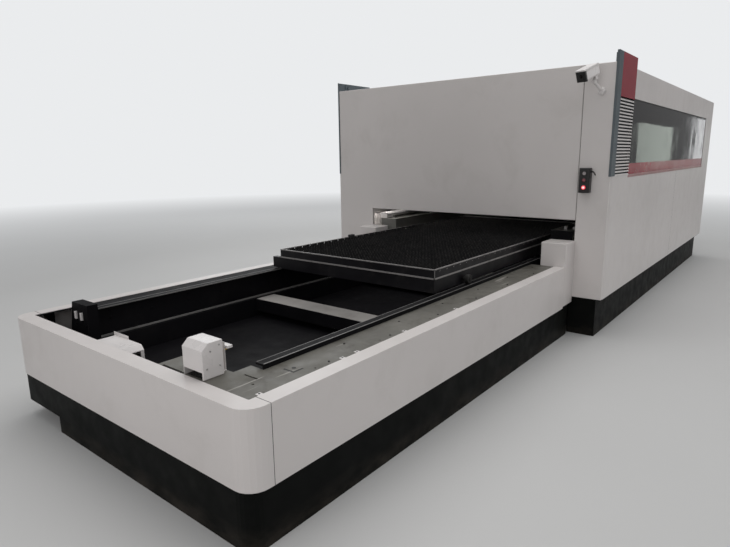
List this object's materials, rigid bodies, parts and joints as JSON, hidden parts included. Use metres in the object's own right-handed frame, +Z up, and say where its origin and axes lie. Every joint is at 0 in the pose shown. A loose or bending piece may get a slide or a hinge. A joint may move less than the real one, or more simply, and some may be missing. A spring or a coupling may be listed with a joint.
{
  "type": "fiber laser cutting machine",
  "caption": "Fiber laser cutting machine: windowed white enclosure over a gantry and cutting head, with a pallet exchange table at its near end.",
  "frame": {"origin": "floor level under the middle of the machine's bounding box", "axes": "+Y from the exchange table towards the enclosure, +X towards the window side, +Z up"},
  "size_m": [3.008, 8.92, 2.43],
  "materials": {
    "white_paint": "semi-gloss powder coat",
    "black_paint": "gloss black paint",
    "pallet_steel": "dark worn steel",
    "grey_steel": "satin grey paint",
    "bright_steel": "machined",
    "aluminium": "satin",
    "copper_nozzle": "turned",
    "blue_grey_trim": "satin blue-grey paint",
    "red_panel": "gloss deep red",
    "dark_window": "dark tinted laser-safe sheet",
    "black_plastic": "matt",
    "white_button": "gloss",
    "pink_button": "gloss",
    "red_button": "gloss"
  },
  "bodies": {
    "machine": {"table_frame": "grey_steel", "ledge_left": "grey_steel", "ledge_right": "grey_steel", "drive_motor": "grey_steel", "bed_frame": "grey_steel", "table_rail_left": "black_paint", "table_rail_right": "black_paint", "rail_end_tower": "black_paint", "table_skirt": "black_paint", "enclosure_skirt": "black_paint", "near_cover": "white_paint", "left_cover": "white_paint", "right_cover": "white_paint", "column_cover_left": "white_paint", "column_cover_right": "white_paint", "stop_cover": "white_paint", "motor_cover": "white_paint", "front_panel": "white_paint", "front_pillar_right": "white_paint", "side_panel_left": "white_paint", "side_panel_right": "white_paint", "rear_panel": "white_paint", "roof": "white_paint", "louvre": "white_paint", "camera_bracket": "white_paint", "drive_chain": "bright_steel", "guide_left": "bright_steel", "guide_right": "bright_steel", "lift_cylinder_near": "bright_steel", "lift_cylinder_far": "bright_steel", "trim_left": "blue_grey_trim", "trim_right": "blue_grey_trim", "red_panel": "red_panel", "window_strip": "red_panel", "window_glass": "dark_window", "button_box": "black_plastic"},
    "upper_pallet": {"upper_pallet_frame": "pallet_steel", "upper_pallet_grate": "pallet_steel"},
    "upper_wheels_near": {"upper_wheelset_near": "bright_steel"},
    "upper_wheels_far": {"upper_wheelset_far": "bright_steel"},
    "lift": {"lift_frame": "black_paint"},
    "lower_pallet": {"lower_pallet_frame": "pallet_steel", "lower_pallet_grate": "pallet_steel"},
    "lower_wheels_near": {"lower_wheelset_near": "bright_steel"},
    "lower_wheels_far": {"lower_wheelset_far": "bright_steel"},
    "shaft": {"drive_shaft": "bright_steel"},
    "idler": {"chain_idler": "bright_steel"},
    "gate": {"lift_gate": "white_paint"},
    "gantry": {"gantry_beam": "aluminium"},
    "carriage": {"cross_carriage": "aluminium"},
    "head": {"head_slide": "aluminium", "cutting_head": "bright_steel", "nozzle": "copper_nozzle"},
    "camera_swivel": {"camera_knuckle": "bright_steel"},
    "camera": {"camera_body": "white_paint"},
    "white_push": {"button_white": "white_button"},
    "pink_push": {"button_pink": "pink_button"},
    "red_push": {"button_red": "red_button"},
    "door_near": {"service_door_near": "white_paint"},
    "door_far": {"service_door_far": "white_paint"}
  },
  "joints": [
    {"name": "upper_pallet_slide", "type": "slide", "parent": "machine", "child": "upper_pallet", "axis": [0, 1, 0], "range_m": [-1.56, 3.297]},
    {"name": "upper_wheels_near_turn", "type": "hinge", "parent": "upper_pallet", "child": "upper_wheels_near", "pos_m": [0.106, -2.077, 0.7153], "axis": [1, 0, 0], "continuous": true},
    {"name": "upper_wheels_far_turn", "type": "hinge", "parent": "upper_pallet", "child": "upper_wheels_far", "pos_m": [0.106, 0.283, 0.7153], "axis": [1, 0, 0], "continuous": true},
    {"name": "lift_slide", "type": "slide", "parent": "machine", "child": "lift", "axis": [0, 0, -1], "range_m": [-0.19, 0]},
    {"name": "lower_pallet_slide", "type": "slide", "parent": "lift", "child": "lower_pallet", "axis": [0, -1, 0], "range_m": [0, 4.86]},
    {"name": "lower_wheels_near_turn", "type": "hinge", "parent": "lower_pallet", "child": "lower_wheels_near", "pos_m": [0.106, 1.22, 0.5253], "axis": [1, 0, 0], "continuous": true},
    {"name": "lower_wheels_far_turn", "type": "hinge", "parent": "lower_pallet", "child": "lower_wheels_far", "pos_m": [0.106, 3.58, 0.5253], "axis": [1, 0, 0], "continuous": true},
    {"name": "drive_shaft_turn", "type": "hinge", "parent": "machine", "child": "shaft", "pos_m": [0.9885, -4.285, 0.545], "axis": [1, 0, 0], "continuous": true},
    {"name": "chain_idler_turn", "type": "hinge", "parent": "machine", "child": "idler", "pos_m": [0.9885, -1.087, 0.545], "axis": [1, 0, 0], "continuous": true},
    {"name": "gate_slide", "type": "slide", "parent": "machine", "child": "gate", "axis": [0, 0, -1], "range_m": [0, 0.175]},
    {"name": "gantry_slide", "type": "slide", "parent": "machine", "child": "gantry", "axis": [0, 1, 0], "range_m": [-1.45, 1.45]},
    {"name": "carriage_slide", "type": "slide", "parent": "gantry", "child": "carriage", "axis": [1, 0, 0], "range_m": [-0.68, 0.68]},
    {"name": "head_slide_down", "type": "slide", "parent": "carriage", "child": "head", "axis": [0, 0, -1], "range_m": [0, 0.06]},
    {"name": "camera_pan", "type": "hinge", "parent": "machine", "child": "camera_swivel", "pos_m": [1.349, -0.845, 2.215], "axis": [0, 0, 1], "range_deg": [-30, 60]},
    {"name": "camera_tilt", "type": "hinge", "parent": "camera_swivel", "child": "camera", "pos_m": [1.349, -0.845, 2.215], "axis": [0.9511, -0.309, 0], "range_deg": [-20, 25]},
    {"name": "white_button_press", "type": "slide", "parent": "machine", "child": "white_push", "axis": [0, 1, 0], "range_m": [0, 0.004], "stiffness_N_per_m": 600, "springref_m": -0.001},
    {"name": "pink_button_press", "type": "slide", "parent": "machine", "child": "pink_push", "axis": [0, 1, 0], "range_m": [0, 0.004], "stiffness_N_per_m": 600, "springref_m": -0.001},
    {"name": "red_button_press", "type": "slide", "parent": "machine", "child": "red_push", "axis": [0, 1, 0], "range_m": [0, 0.004], "stiffness_N_per_m": 600, "springref_m": -0.001},
    {"name": "door_near_hinge", "type": "hinge", "parent": "machine", "child": "door_near", "pos_m": [-1.5, 0.6, 1.2], "axis": [0, 0, 1], "range_deg": [0, 100]},
    {"name": "door_far_hinge", "type": "hinge", "parent": "machine", "child": "door_far", "pos_m": [-1.5, 2.6, 1.2], "axis": [0, 0, 1], "range_deg": [0, 100]}
  ],
  "couplings": [
    {"joint": "upper_wheels_near_turn", "follows": "upper_pallet_slide", "rad_per_m": -28.571},
    {"joint": "upper_wheels_far_turn", "follows": "upper_pallet_slide", "rad_per_m": -28.571},
    {"joint": "lower_wheels_near_turn", "follows": "lower_pallet_slide", "rad_per_m": 28.571},
    {"joint": "lower_wheels_far_turn", "follows": "lower_pallet_slide", "rad_per_m": 28.571},
    {"joint": "drive_shaft_turn", "follows": "upper_pallet_slide", "rad_per_m": -17.241},
    {"joint": "chain_idler_turn", "follows": "upper_pallet_slide", "rad_per_m": -17.241}
  ]
}
